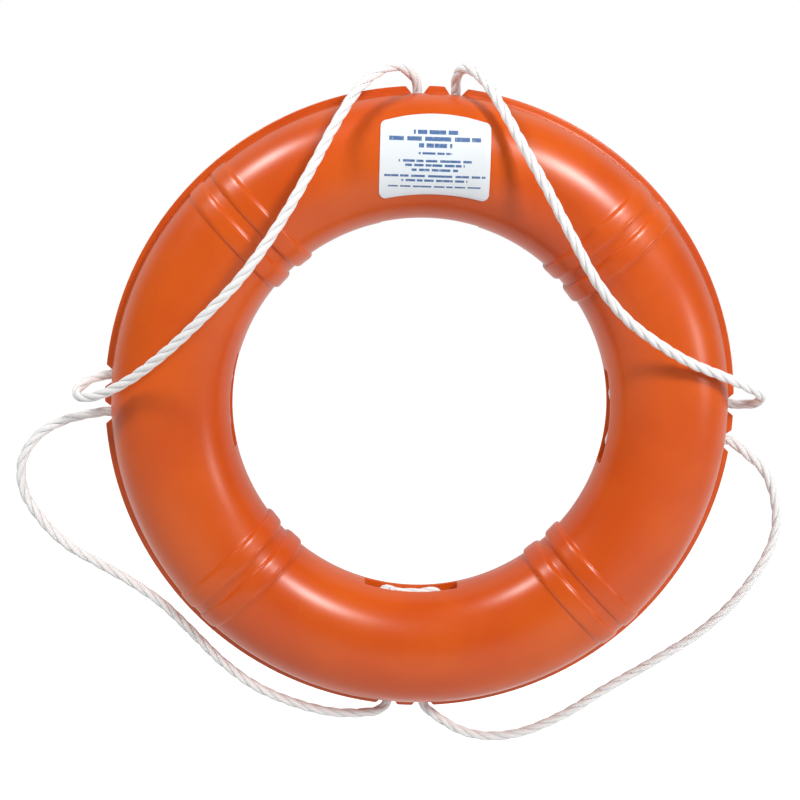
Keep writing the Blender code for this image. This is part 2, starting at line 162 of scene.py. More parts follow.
world = bpy.data.worlds.new("white_room")
scene.world = world
room = Nodes(world)
fill_light = 0.21  # falls on the ring from in front
back_light = 0.60  # and from behind
dim_front = 0.15  # how bright the room in front looks in gloss
bright_back = 0.75  # and the room behind
straight = room.add("ShaderNodeLightPath", {}, {}, "Is Camera Ray")
showing = room.seen()
direction = room.add("ShaderNodeTexCoord", {}, {}, "Generated")
behind = room.add("ShaderNodeSeparateXYZ", {}, {0: direction}, "Y").rise(0.0, 0.5)
reflected = dim_front + behind * (bright_back - dim_front)
background = room.tree.nodes["Background"]
background.inputs["Color"].default_value = (1.0, 1.0, 1.0, 1.0)
glimpsed = (showing - straight).highest(0.0)
falling = fill_light + behind * (back_light - fill_light)
room.feed(background.inputs["Strength"], straight + glimpsed * reflected + (1.0 - showing) * falling)

lamp_distance = 2.3
lamp_size = 0.45


def add_lamp(name, direction, power):
    """A large square soft lamp that stands that way from the ring's middle."""
    lamp = bpy.data.lights.new(name, "AREA")
    lamp.size = lamp_size
    lamp.energy = power
    stand = bpy.data.objects.new(name, lamp)
    stand.location = Vector(direction).normalized() * lamp_distance
    stand.rotation_euler = Vector(direction).to_track_quat("Z", "Y").to_euler()
    scene.collection.objects.link(stand)


# One lamp high on the right, one higher on the left, and a weak one level with the ring
add_lamp("right_lamp", (0.42, -0.70, 0.55), 34.0)
add_lamp("left_lamp", (-0.58, -0.34, 0.74), 24.0)
add_lamp("side_lamp", (0.86, -0.50, 0.10), 7.0)

floor_height = -0.75
floor_mesh = bpy.data.meshes.new("floor")
shape = bmesh.new()
bmesh.ops.create_grid(shape, x_segments=8, y_segments=8, size=6.0)
shape.transform(Matrix.Translation((0, 0, floor_height)))
shape.to_mesh(floor_mesh)
shape.free()
floor = bpy.data.objects.new("floor", floor_mesh)
scene.collection.objects.link(floor)
floor_finish = bpy.data.materials.new("floor_white")
glow_seen = 0.74  # how white the floor glows to the camera
glow_in_gloss = 0.7  # and in gloss
black = (0.0, 0.0, 0.0, 1.0)
white = (1.0, 1.0, 1.0, 1.0)
painted = Nodes(floor_finish)
floor_shader = painted.tree.nodes["Principled BSDF"]
floor_shader.inputs["Base Color"].default_value = (0.80, 0.80, 0.80, 1.0)
floor_shader.inputs["Roughness"].default_value = 0.9
floor_shader.inputs["Emission Strength"].default_value = 1.0
spot = painted.add("ShaderNodeNewGeometry", {}, {}, "Position")
far_side = painted.add("ShaderNodeSeparateXYZ", {}, {0: spot}, "Y").rise(-0.2, 0.5)
straight = painted.add("ShaderNodeLightPath", {}, {}, "Is Camera Ray")
glimpsed = (painted.seen() - straight).highest(0.0) * (dim_front + far_side * (bright_back - dim_front))
glow = painted.mix(straight * glow_seen + glimpsed * glow_in_gloss, black, white)
painted.feed(floor_shader.inputs["Emission Color"], glow)
floor_mesh.materials.append(floor_finish)

# The grab line: one length of white three-strand rope, laid right-handed. It runs in and out
# through the ring's holes, and hangs between them in four loops. Its two cut ends, sealed with
# heat, lie side by side in the bottom recess.
rope_diameter = 0.0095
rope_radius = rope_diameter / 2
rope_lay = 0.051  # rope that one strand takes to go once round
groove_depth = 0.00135  # how far the rope dips between two strands
strand_sides = 12
strand_third = math.radians(60.0)  # half of a strand's third of the rope
strand_reach = math.radians(59.0)  # of its crown to each side, a little less than that
crown_power = 2.4
strand_heart = 0.0003  # from the rope's middle to a strand's inner edge
unevenness = 0.02
unevenness_scale = 90
ring_spacing = 0.0019
curve_steps = 40  # between two points of a route
yarns_in_strand = 12
yarns_showing = 0.62  # share of a strand's yarns that lie on its crown
yarn_slope = 21.0
sealed_reach = 0.35  # how far a sealed end bulges out, in rope radii
hidden_reach = 0.9  # how far a stretch runs on into its neighbour, in rope radii
sealed_swell = 1.06
rim_radius = 0.305
exit_radius = rim_radius - 0.002
exit_offset = 0.018
mouth_offset = 0.030
recess_floor = 0.1965
stations = {"top": 0, "right": 90, "bottom": 180, "left": 270}
through_mm = [(26.0, 0, 8.9), (20.5, 0, 8.7), (14.0, 0, 6.9), (7.0, 0, 5.5)]
near_end_mm = [
    (-26.5, -3.5, 10.8), (-20.5, -4.9, 12.4), (-14.0, -4.95, 11.2), (-6.0, -4.95, 10.2),
    (2.0, -4.95, 10.0), (10.0, -4.95, 10.0), (19.5, -4.95, 10.0),
]
far_end_mm = [
    (26.2, 3.3, 9.2), (20.5, 4.8, 9.0), (14.0, 4.95, 7.4), (6.0, 4.95, 6.0),
    (-2.0, 4.95, 5.6), (-10.0, 4.95, 5.6), (-16.0, 4.95, 5.8), (-21.0, 4.95, 6.0),
]
top_left_mm = [
    (-24, -6, 314), (-38, -19, 320), (-55, -34, 313), (-72, -48, 296), (-90, -63, 265),
    (-109, -80, 225), (-136, -95, 173), (-167, -100, 126), (-200, -94, 89), (-236, -80, 53),
    (-271, -62, 24), (-302, -47, 6), (-322, -33, 1), (-328, -18, 5), (-318, -5, 14),
]
top_right_mm = [
    (18, -7, 315), (25, -20, 321), (38, -34, 313), (53, -50, 293), (74, -72, 257),
    (98, -89, 217), (122, -99, 176), (147, -100, 137), (176, -94, 106), (208, -84, 84),
    (242, -70, 66), (276, -55, 53), (304, -42, 42), (324, -27, 31), (322, -10, 21),
]
bottom_right_mm = [
    (309, -1, -21), (319, -3, -28), (340, -6, -46), (353, -8, -75), (356, -9, -107),
    (346, -10, -139), (324, -9, -177), (292, -7, -213), (250, -6, -245), (203, -6, -277),
    (160, -6, -308), (118, -5, -329), (86, -3, -335), (60, -2, -331), (38, -1, -320),
    (24, -1, -310),
]
bottom_left_mm = [
    (-21, -1, -309), (-29, -1, -314), (-42, -2, -316), (-70, -2, -317), (-108, -3, -309),
    (-150, -4, -292), (-185, -4, -267), (-216, -4, -237), (-246, -4, -209), (-277, -4, -188),
    (-310, -6, -169), (-340, -8, -151), (-365, -9, -126), (-382, -9, -97), (-383, -8, -68),
    (-368, -6, -43), (-344, -4, -28), (-321, -2, -21), (-310, -1, -19),
]


def at_station(station, point):
    """Turns a point of the top station to the named one."""
    return Matrix.Rotation(math.radians(stations[station]), 4, "Y") @ Vector(point)


def exit_point(station, side):
    return at_station(station, (side * exit_offset, 0, math.sqrt(exit_radius**2 - exit_offset**2)))


def held_route(station, side, turn_mm):
    """From an exit in through its hole, round the mouth's corner and along the recess."""
    corner = at_station(station, (side * mouth_offset, 0, recess_floor))
    halfway = exit_point(station, side).lerp(corner, 0.5)
    along = [at_station(station, (x / 1000, y / 1000, recess_floor - drop / 1000))
             for x, y, drop in turn_mm]
    return [halfway, corner, *along]


def through_route(station, side):
    """From one exit through the recess to just before the other exit."""
    there = [(side * x, y, drop) for x, y, drop in through_mm]
    back = [(-side * x, y, drop) for x, y, drop in reversed(through_mm)]
    first = held_route(station, side, there + [(0, 0, 5.2)] + back)
    last = held_route(station, -side, [])
    return first + last[::-1]


def in_metres(route_mm):
    return [Vector(point) / 1000 for point in route_mm]


def fine_curve(points, marks):
    """A centripetal Catmull-Rom curve through the points, and where on it the marked ones lie."""
    knots = [2 * points[0] - points[1], *points, 2 * points[-1] - points[-2]]
    fine = []
    found = []
    for index, (a, b, c, d) in enumerate(zip(knots, knots[1:], knots[2:], knots[3:])):
        if index in marks:
            found.append(len(fine))
        t1 = (b - a).length ** 0.5
        t2 = t1 + (c - b).length ** 0.5
        t3 = t2 + (d - c).length ** 0.5
        for k in range(curve_steps):
            t = t1 + (t2 - t1) * k / curve_steps
            ab = a.lerp(b, t / t1)
            bc = b.lerp(c, (t - t1) / (t2 - t1))
            cd = c.lerp(d, (t - t2) / (t3 - t2))
            first = ab.lerp(bc, t / t2)
            second = bc.lerp(cd, (t - t1) / (t3 - t1))
            fine.append(first.lerp(second, (t - t1) / (t2 - t1)))
    fine.append(points[-1])
    return fine, found


def evenly(points, spacing):
    """The same line with points an even distance apart."""
    reach = [0.0]
    for before, after in zip(points, points[1:]):
        reach.append(reach[-1] + (after - before).length)
    count = max(2, round(reach[-1] / spacing))
    spaced = []
    at = 0
    for k in range(count + 1):
        goal = reach[-1] * k / count
        while at < len(reach) - 2 and reach[at + 1] < goal:
            at += 1
        share = (goal - reach[at]) / (reach[at + 1] - reach[at])
        spaced.append(points[at].lerp(points[at + 1], share))
    return spaced, reach[-1]


def carried_frames(points):
    """A sideways vector at each point, carried along the line without twisting."""
    tangents = [(after - before).normalized() for before, after in
                zip([points[0], *points[:-1]], [*points[1:], points[-1]])]
    side = tangents[0].orthogonal().normalized()
    sides = []
    for tangent in tangents:
        side = (side - tangent * side.dot(tangent)).normalized()
        sides.append(side)
    return tangents, sides


rope_finish = bpy.data.materials.new("white_rope")
fibre = Nodes(rope_finish)
fibre_shader = fibre.tree.nodes["Principled BSDF"]
place = fibre.add("ShaderNodeTexCoord", {}, {}, "Object")
yarn_map = fibre.add("ShaderNodeAttribute", {"attribute_name": "yarn"}, {}, "Vector")
around = fibre.add("ShaderNodeSeparateXYZ", {}, {0: yarn_map}, "X")
along = fibre.add("ShaderNodeSeparateXYZ", {}, {0: yarn_map}, "Y")
painted_groove_shade = fibre.add("ShaderNodeSeparateXYZ", {}, {0: yarn_map}, "Z")
yarn_turns = (around + along * yarn_slope) * yarns_in_strand
yarn_ridge = abs((yarn_turns * math.pi).sine())
fuzz = fibre.add("ShaderNodeTexNoise", {}, {"Vector": place, "Scale": 1500.0, "Detail": 3.0})
grime = fibre.add("ShaderNodeTexNoise", {}, {"Vector": place, "Scale": 34.0, "Detail": 3.0})
# Random grime, plus painted shade that darkens the grooves between the strands
grime_and_groove_shade = grime.rise(0.50, 0.75) * 0.3 + painted_groove_shade * 0.35
clean_white = (0.89, 0.885, 0.875, 1.0)
grime_and_shade_white = (0.76, 0.72, 0.70, 1.0)
fibre.feed(fibre_shader.inputs["Base Color"], fibre.mix(grime_and_groove_shade.lowest(1.0), clean_white, grime_and_shade_white))
fibre.feed(fibre_shader.inputs["Roughness"], 0.62 + fuzz * 0.2)
relief = yarn_ridge * 0.7 + fuzz * 0.3
bumped = fibre.add("ShaderNodeBump", {}, {"Strength": 0.55, "Distance": 0.0004, "Height": relief}, "Normal")
fibre.feed(fibre_shader.inputs["Normal"], bumped)
fibre_shader.inputs["Subsurface Weight"].default_value = 0.4
fibre_shader.inputs["Subsurface Radius"].default_value = (1.0, 0.95, 0.9)
fibre_shader.inputs["Subsurface Scale"].default_value = 0.003
fibre_shader.inputs["Sheen Weight"].default_value = 0.12
fibre_shader.inputs["Specular IOR Level"].default_value = 0.35


def wedge_section():
    """A strand that all but fills its third of the rope: a soft crown outside, two flat sides."""
    rounded = strand_sides - 1
    section = []
    for k in range(rounded):
        place = 2 * k / (rounded - 1) - 1
        angle = strand_reach * math.sin(math.pi / 2 * place)
        out = rope_radius - groove_depth * abs(angle / strand_third) ** crown_power
        section.append((out * math.cos(angle), out * math.sin(angle)))
    section.append((strand_heart, 0.0))
    return section


strand_section = wedge_section()


def three_strands(name, points, phases, sizes):
    """A laid rope as one mesh of three closed strands, each wound round the line."""
    tangents, sides = carried_frames(points)
    shape = bmesh.new()
    yarn = shape.loops.layers.float_vector.new("yarn")
    for strand in range(3):
        rings = []
        for point, tangent, side, phase, size in zip(points, tangents, sides, phases, sizes):
            turn = phase + strand * math.tau / 3
            across = tangent.cross(side)
            outward = side * math.cos(turn) + across * math.sin(turn)
            sideways = across * math.cos(turn) - side * math.sin(turn)
            rise = noise.noise(point * unevenness_scale + Vector((strand, 0, 0)))
            swell = size * (1 + unevenness * rise)
            ring = []
            for out, aside in strand_section:
                ring.append(shape.verts.new(point + (outward * out + sideways * aside) * swell))
            rings.append(ring)
        length = 0.0
        for index, (ring, ahead) in enumerate(zip(rings, rings[1:])):
            step = (points[index + 1] - points[index]).length
            for k in range(strand_sides):
                after = (k + 1) % strand_sides
                face = shape.faces.new((ring[k], ring[after], ahead[after], ahead[k]))
                face.smooth = True
                corners = ((k, length), (k + 1, length), (k + 1, length + step), (k, length + step))
                for loop, (place_round, reach) in zip(face.loops, corners):
                    share = place_round / (strand_sides - 2)
                    # Painted shade: the third value grows towards the strand's edges, to darken the grooves
                    # between strands
                    groove_shade_amount = min(1.0, abs(2 * share - 1)) ** 3
                    loop[yarn] = (share * yarns_showing, reach, groove_shade_amount)
            length += step
        shape.faces.new(rings[0][::-1])
        shape.faces.new(rings[-1])
    bmesh.ops.recalc_face_normals(shape, faces=shape.faces)
    mesh = bpy.data.meshes.new(name)
    shape.to_mesh(mesh)
    shape.free()
    mesh.materials.append(rope_finish)
    made = bpy.data.objects.new(name, mesh)
    scene.collection.objects.link(made)
    return made


# Along the line from its near end to its far end: each stretch, its node and its body
stretches = [
    ("rope_end_near", "ring"), ("grab_loop_bottom_right", "bottom_right_loop"),
    ("rope_through_right", "ring"), ("grab_loop_top_right", "top_right_loop"),
    ("rope_through_top", "ring"), ("grab_loop_top_left", "top_left_loop"),
    ("rope_through_left", "ring"), ("grab_loop_bottom_left", "bottom_left_loop"),
    ("rope_end_far", "ring"),
]
passes = [
    (held_route("bottom", -1, near_end_mm)[::-1], ("bottom", -1)),
    (in_metres(bottom_right_mm)[::-1], ("right", 1)),
    (through_route("right", 1), ("right", -1)),
    (in_metres(top_right_mm)[::-1], ("top", 1)),
    (through_route("top", 1), ("top", -1)),
    (in_metres(top_left_mm), ("left", 1)),
    (through_route("left", 1), ("left", -1)),
    (in_metres(bottom_left_mm)[::-1], ("bottom", 1)),
    (held_route("bottom", 1, far_end_mm), None),
]
line_points = []
exit_marks = []
for route, leads_to in passes:
    line_points += route
    if leads_to:
        exit_marks.append(len(line_points))
        line_points.append(exit_point(*leads_to))
line, cuts = fine_curve(line_points, exit_marks)
cuts = [0, *cuts, len(line) - 1]
lay_start = 0.0
for (node, body), first, last in zip(stretches, cuts, cuts[1:]):
    points, length = evenly(line[first : last + 1], ring_spacing)
    spacing = length / (len(points) - 1)
    phases = [math.tau * (lay_start + spacing * k) / rope_lay for k in range(len(points))]
    sizes = [1.0] * len(points)
    # Each stretch runs on past its exits in a round end, which stays inside its neighbour
    ends = []
    near_and_far = (
        (points[0], points[1], phases[0], -1),
        (points[-1], points[-2], phases[-1], 1),
    )
    for outer, inner, phase, way in near_and_far:
        sealed = outer in (line[0], line[-1])
        outward = (outer - inner).normalized()
        added = []
        for k in range(1, 6):
            share = math.sin(math.pi / 2 * k / 5.2)
            reach = rope_radius * (sealed_reach if sealed else hidden_reach) * share
            size = math.sqrt(1 - share**2) * (sealed_swell if sealed else 1.0)
            added.append((outer + outward * reach, phase + way * math.tau * reach / rope_lay, size))
        ends.append(added)
        if sealed:
            for k in range(3):
                sizes[k if way < 0 else -1 - k] = 1.07 - 0.02 * k
    start, finish = ends
    points = [p for p, _, _ in reversed(start)] + points + [p for p, _, _ in finish]
    phases = [p for _, p, _ in reversed(start)] + phases + [p for _, p, _ in finish]
    sizes = [s for _, _, s in reversed(start)] + sizes + [s for _, _, s in finish]
    stretch = three_strands(f"{node}_strands", points, phases, sizes)
    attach(stretch, body)
    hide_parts(node)
    body != "ring"
    lay_start += length

# The shell: two halves moulded in orange plastic, welded round a rib at the rim. Pairs of raised
# bands cross it at the diagonals. Each half is cut out for the recesses, rope holes and notches.
body_radius = 0.2985
hole_radius = 0.1825
shell_depth = 0.108
shell_wall = 0.0035
middle_radius = (body_radius + hole_radius) / 2
half_width = (body_radius - hole_radius) / 2
half_depth = shell_depth / 2
section_power = 2.15
shell_gap = 0.00015
rib_round = 0.0012
rib_foot = 0.0075  # depth at which the body's curve starts beside the rib
hole_seam = 0.0014  # depth at which it ends in the hole
band_height = 0.0037
band_at_rim = 0.34  # share of that height
band_gain = 0.58  # more of it at the hole
band_zone = 0.027  # half the width of each diagonal's stretch of straight columns
recess_half_length = 0.046
recess_half_breadth = 0.010
recess_corner = 0.003
mouth_edge = 0.0012  # rounding of the mouths of the recesses and of the rope holes
mouth_first_step = 0.741  # share of that rounding at its first step
mouth_room = 0.0012  # what the cutters are wider by, clear of the wall
rope_hole_radius = 0.0055
notch_half_width = 0.009  # front to back
notch_back_flare = 0.0018
hollow_columns = 96
hollow_points = 36
diagonals = (45, 135, 225, 315)


def section_point(turn, grown=0.0):
    """Radius and depth of the section's outline, 0 at the rim and half a turn at the hole."""
    across = math.cos(turn)
    out = math.sin(turn)
    power = 2 / section_power
    radius = middle_radius + (half_width + grown) * math.copysign(abs(across) ** power, across)
    return radius, (half_depth + grown) * abs(out) ** power


def turn_at_depth(depth):
    return math.asin((depth / half_depth) ** (section_power / 2))


def band_share(turn):
    """How much of their full height the bands have there: most at the hole, least at the rim."""
    return band_at_rim + band_gain * turn / math.pi


def shell_outline(grown):
    """Half the section, from the seam at the rim round to the seam in the hole."""
    root = section_point(turn_at_depth(rib_foot), grown * band_share(0.0))[0]
    outline = [
        (rim_radius - 0.0005, shell_gap), (rim_radius - 0.00012, 0.0004), (rim_radius, 0.0009),
        (rim_radius, 0.0024), (rim_radius, 0.0036),
    ]
    for k in range(1, 4):
        corner = math.pi / 2 * k / 3
        radius = rim_radius - rib_round * (1 - math.cos(corner))
        outline.append((radius, 0.0038 + rib_round * math.sin(corner)))
    outline += [
        (root + (rim_radius - rib_round - root) * 0.45, 0.0050), (root + 0.0006, 0.0051),
        (root - 0.0003, 0.0054), (root - 0.0003, 0.0060),
    ]
    first = turn_at_depth(rib_foot)
    last = math.pi - turn_at_depth(hole_seam)
    for k in range(31):
        turn = first + (last - first) * k / 30
        outline.append(section_point(turn, grown * band_share(turn)))
    hole = hole_radius - grown * band_share(math.pi)
    outline += [(hole, 0.0005), (hole + 0.0004, shell_gap)]
    return outline


def band_profile():
    """Distances across a diagonal and the rise of the bands there, with rounded edges."""
    rows = []
    inner_edge, outer_edge = 0.005, 0.023
    foot, crown, crown_run = 0.0012, 0.0025, 0.0044
    for k in range(4):
        bend = math.pi / 2 * k / 3
        rows.append((-foot + foot * math.sin(bend), foot - foot * math.cos(bend)))
    for k in range(5):
        bend = math.pi / 2 * k / 4
        rows.append((0.0002 + crown_run * (1 - math.cos(bend)), band_height - crown * (1 - math.sin(bend))))
    band = [(inner_edge + step, rise) for step, rise in rows]
    band += [(inner_edge + 0.0060, band_height), ((inner_edge + outer_edge) / 2, band_height),
             (outer_edge - 0.0060, band_height)]
    band += [(outer_edge - step, rise) for step, rise in reversed(rows)]
    half = [(0.0, 0.0), (0.0025, 0.0), *band, (band_zone, 0.0)]
    return [(-step, rise) for step, rise in reversed(half[1:])] + half


def shell_columns():
    """Functions from radius to angle, one for each column round the ring, and its rise."""
    columns = []
    plain = 38
    for index, diagonal in enumerate(diagonals):
        for step, rise in band_profile():
            columns.append((lambda radius, d=math.radians(diagonal), s=step: d + math.asin(s / radius), rise))
        after = diagonals[(index + 1) % 4] + (360 if index == 3 else 0)
        for k in range(1, plain):
            def between(radius, a=math.radians(diagonal), b=math.radians(after), share=k / plain):
                edge = math.asin(band_zone / radius)
                return a + edge + (b - a - 2 * edge) * share
            columns.append((between, 0.0))
    return columns


def ring_half(name, side):
    shape = bmesh.new()
    columns = []
    for angle_at, rise in shell_columns():
        column = []
        for radius, depth in shell_outline(rise):
            angle = angle_at(radius)
            column.append(shape.verts.new((radius * math.sin(angle), side * depth, radius * math.cos(angle))))
        columns.append(column)
    for column, ahead in zip(columns, columns[1:] + columns[:1]):
        count = len(column)
        for k in range(count):
            after = (k + 1) % count
            shape.faces.new((column[k], column[after], ahead[after], ahead[k])).smooth = True
    bmesh.ops.recalc_face_normals(shape, faces=shape.faces)
    mesh = bpy.data.meshes.new(name)
    shape.to_mesh(mesh)
    shape.free()
    made = bpy.data.objects.new(name, mesh)
    scene.collection.objects.link(made)
    return made


def wall_height(x, y, middle):
    """Height over the ring's axis of the hole's wall, at a place in a station's frame."""
    reach = half_width * (1 - (min(abs(y), half_depth) / half_depth) ** section_power) ** (1 / section_power)
    return math.sqrt((middle_radius - reach) ** 2 - min(abs(x), middle) ** 2)


def rounded_rectangle(half_length, half_breadth, corner):
    points = []
    for quarter, (sign_x, sign_y) in enumerate(((1, 1), (-1, 1), (-1, -1), (1, -1))):
        for k in range(5):
            turn = math.pi / 2 * (quarter + k / 4)
            points.append((
                sign_x * (half_length - corner) + corner * math.cos(turn),
                sign_y * (half_breadth - corner) + corner * math.sin(turn),
            ))
        span = 10 if quarter in (0, 2) else 6
        nexts = [(-1, 1), (-1, -1), (1, -1), (1, 1)][quarter]
        turn = math.pi / 2 * (quarter + 1)
        start = Vector(points[-1])
        goal = Vector((
            nexts[0] * (half_length - corner) + corner * math.cos(turn),
            nexts[1] * (half_breadth - corner) + corner * math.sin(turn),
        ))
        points += [tuple(start.lerp(goal, k / span)) for k in range(1, span)]
    return points


def loft(name, loops):
    """A closed solid through loops of the same number of points."""
    shape = bmesh.new()
    rings = [[shape.verts.new(point) for point in loop] for loop in loops]
    for ring, ahead in zip(rings, rings[1:]):
        for k in range(len(ring)):
            after = (k + 1) % len(ring)
            shape.faces.new((ring[k], ring[after], ahead[after], ahead[k]))
    shape.faces.new(rings[0])
    shape.faces.new(rings[-1])
    bmesh.ops.recalc_face_normals(shape, faces=shape.faces)
    mesh = bpy.data.meshes.new(name)
    shape.to_mesh(mesh)
    shape.free()
    return mesh


def recess_block(grown):
    """The room of one recess in the top station's frame, its mouth's edge rounded."""
    foot = 0.0025
    flare = mouth_edge * mouth_first_step + mouth_room

    def outline_at(wider):
        return rounded_rectangle(
            recess_half_length + wider + grown, recess_half_breadth + wider + grown, recess_corner + grown)

    loops = []
    levels = [(-0.020, flare), (-0.0003, flare)]
    for k in range(1, 7):
        bend = math.pi / 2 * k / 6
        levels.append((mouth_edge * (1 - math.cos(bend)), mouth_edge * (1 - math.sin(bend))))
    for drop, wider in levels:
        loops.append([(x, y, wall_height(x, y, 0.060) + drop) for x, y in outline_at(wider)])
    for k in range(4):
        bend = math.pi / 2 * k / 3
        wider = -foot * (1 - math.cos(bend))
        height = recess_floor + grown - foot * (1 - math.sin(bend))
        loops.append([(x, y, height) for x, y in outline_at(wider)])
    return loft("recess_block", loops)


def notch_block():
    """The room of one notch, centred on its exit, and wider to the back, where the loops swing."""
    outline = [(0.0050, 0.2973), (0.0102, 0.3038), (0.0112, 0.3047), (0.0126, 0.3053), (0.0200, 0.3350)]
    loops = []
    for y, wider in ((-notch_half_width, 0.0), (0.0, 0.0), (notch_half_width, notch_back_flare)):
        half = [(x + wider, y, z) for x, z in outline]
        loops.append(half + [(-x, y, z) for x, y, z in reversed(half)])
    return loft("notch_block", loops)


def hole_block(radius):
    """A rod along one rope hole, as wide at its mouth in the recess as a rounded edge leaves it."""
    lean_run = (exit_radius - recess_floor) / math.cos(hole_lean) + 0.015
    flared = radius + mouth_edge * mouth_first_step + mouth_room
    profile = [(flared, -0.006), (flared, -0.0003)]
    for k in range(1, 7):
        bend = math.pi / 2 * k / 6
        profile.append((radius + mouth_edge * (1 - math.sin(bend)), mouth_edge * (1 - math.cos(bend))))
    profile.append((radius, lean_run))
    loops = []
    for wide, height in profile:
        loops.append([(wide * math.cos(math.tau * k / 32), wide * math.sin(math.tau * k / 32), height)
                      for k in range(32)])
    return loft("hole_block", loops)


hole_lean = math.atan2(mouth_offset - exit_offset, exit_radius - recess_floor)
cutters = bpy.data.collections.new("cutters")
inner_cutters = bpy.data.collections.new("inner_cutters")


def add_cutter(mesh, collection, place):
    cutter = bpy.data.objects.new(mesh.name, mesh)
    cutter.matrix_world = place
    collection.objects.link(cutter)
    return cutter


recess_mesh = recess_block(0.0)
pocket_mesh = recess_block(shell_wall)
notch_mesh = notch_block()
hole_mesh = hole_block(rope_hole_radius)
for angle in stations.values():
    station_turn = Matrix.Rotation(math.radians(angle), 4, "Y")
    add_cutter(recess_mesh, cutters, station_turn)
    add_cutter(pocket_mesh, inner_cutters, station_turn)
    for side in (-1, 1):
        to_exit = side * math.asin(exit_offset / exit_radius)
        add_cutter(notch_mesh, cutters, Matrix.Rotation(math.radians(angle) + to_exit, 4, "Y"))
        mouth = Matrix.Translation((side * mouth_offset, 0, recess_floor))
        add_cutter(hole_mesh, cutters, station_turn @ mouth @ Matrix.Rotation(-side * hole_lean, 4, "Y"))


def carve(obj, operand):
    """Cuts an object, or a collection of them, out of the first one."""
    modifier = obj.modifiers.new("carve", "BOOLEAN")
    modifier.operation = "DIFFERENCE"
    modifier.solver = "EXACT"
    if isinstance(operand, bpy.types.Collection):
        modifier.operand_type = "COLLECTION"
        modifier.collection = operand
    else:
        modifier.object = operand
    bpy.context.view_layer.update()
    evaluated = obj.evaluated_get(bpy.context.evaluated_depsgraph_get())
    carved = bpy.data.meshes.new_from_object(evaluated)
    obj.modifiers.clear()
    obj.data = carved


def hollow_ring():
    """The room inside the shell, kept clear of the recesses' walls."""
    shape = bmesh.new()
    columns = []
    for k in range(hollow_columns):
        angle = math.tau * k / hollow_columns
        column = []
        for j in range(hollow_points):
            turn = math.tau * j / hollow_points
            radius, depth = section_point(turn, -shell_wall)
            depth = math.copysign(depth, math.sin(turn))
            column.append(shape.verts.new((radius * math.sin(angle), depth, radius * math.cos(angle))))
        columns.append(column)
    for column, ahead in zip(columns, columns[1:] + columns[:1]):
        for j in range(hollow_points):
            after = (j + 1) % hollow_points
            shape.faces.new((column[j], column[after], ahead[after], ahead[j])).smooth = True
    bmesh.ops.recalc_face_normals(shape, faces=shape.faces)
    mesh = bpy.data.meshes.new("hollow")
    shape.to_mesh(mesh)
    shape.free()
    made = bpy.data.objects.new("hollow", mesh)
    scene.collection.objects.link(made)
    return made


hollow = hollow_ring()
carve(hollow, inner_cutters)

shell_finish = bpy.data.materials.new("orange_shell")
plastic = Nodes(shell_finish)
plastic_shader = plastic.tree.nodes["Principled BSDF"]
place = plastic.add("ShaderNodeTexCoord", {}, {}, "Object")
cloud = plastic.add("ShaderNodeTexNoise", {}, {"Vector": place, "Scale": 9.0, "Detail": 4.0})
grain = plastic.add("ShaderNodeTexNoise", {}, {"Vector": place, "Scale": 900.0, "Detail": 2.0})
peel = plastic.add("ShaderNodeTexNoise", {}, {"Vector": place, "Scale": 110.0, "Detail": 2.0})
rubbed = plastic.add(
    "ShaderNodeTexNoise", {}, {"Vector": place, "Scale": 48.0, "Detail": 6.0, "Roughness": 0.7})
scuff = rubbed.rise(0.62, 0.80)
deep_orange = (0.60, 0.074, 0.003, 1.0)
light_orange = (0.66, 0.096, 0.004, 1.0)
chalky_orange = (0.70, 0.15, 0.02, 1.0)
tone = plastic.mix(cloud.rise(0.35, 0.65), deep_orange, light_orange)
plastic.feed(plastic_shader.inputs["Base Color"], plastic.mix(scuff * 0.25, tone, chalky_orange))
plastic.feed(plastic_shader.inputs["Roughness"], 0.28 + cloud * 0.05 + scuff * 0.12)
relief = peel * 0.7 + grain * 0.05
bumped = plastic.add("ShaderNodeBump", {}, {"Strength": 0.12, "Distance": 0.0006, "Height": relief}, "Normal")
plastic.feed(plastic_shader.inputs["Normal"], bumped)
plastic_shader.inputs["IOR"].default_value = 1.5

# Plug seats are sunk into the back half only, where the plugs close the two filling holes
plug_angles = {"fill_plug": 202.5, "vent_plug": 22.5}
plug_head_radius = 0.012
plug_seat_depth = 0.0020
seat_cutters = bpy.data.collections.new("seat_cutters")
seat_loops = []
for wide, height in ((0.0135, 0.010), (0.0135, 0.0007), (0.0128, 0.0001), (0.0124, -0.0005),
                     (0.0123, -plug_seat_depth), (0.0083, -plug_seat_depth), (0.0083, -0.008)):
    seat_loops.append([(wide * math.cos(math.tau * k / 40), wide * math.sin(math.tau * k / 40), height)
                       for k in range(40)])
seat_mesh = loft("plug_seat", seat_loops)


def at_plug(angle):
    """The place of a plug: on the back at that angle, its head facing backwards."""
    turn = Matrix.Rotation(math.radians(angle), 4, "Y")
    return turn @ Matrix.Translation((0, half_depth, middle_radius)) @ Matrix.Rotation(-math.pi / 2, 4, "X")


for angle in plug_angles.values():
    add_cutter(seat_mesh, seat_cutters, at_plug(angle))

for name, side in (("front_shell", -1), ("rear_shell", 1)):
    half = ring_half(f"{name}_moulding", side)
    carve(half, cutters)
    carve(half, hollow)
    if side > 0:
        carve(half, seat_cutters)
    half.data.shade_smooth()
    half.data.set_sharp_from_angle(angle=math.radians(32))
    half.data.materials.clear()
    half.data.materials.append(shell_finish)
    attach(half, "ring")
    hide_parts(name)

for collection in (cutters, inner_cutters, seat_cutters):
    for cutter in list(collection.objects):
        bpy.data.objects.remove(cutter)
    bpy.data.collections.remove(collection)
bpy.data.objects.remove(hollow)

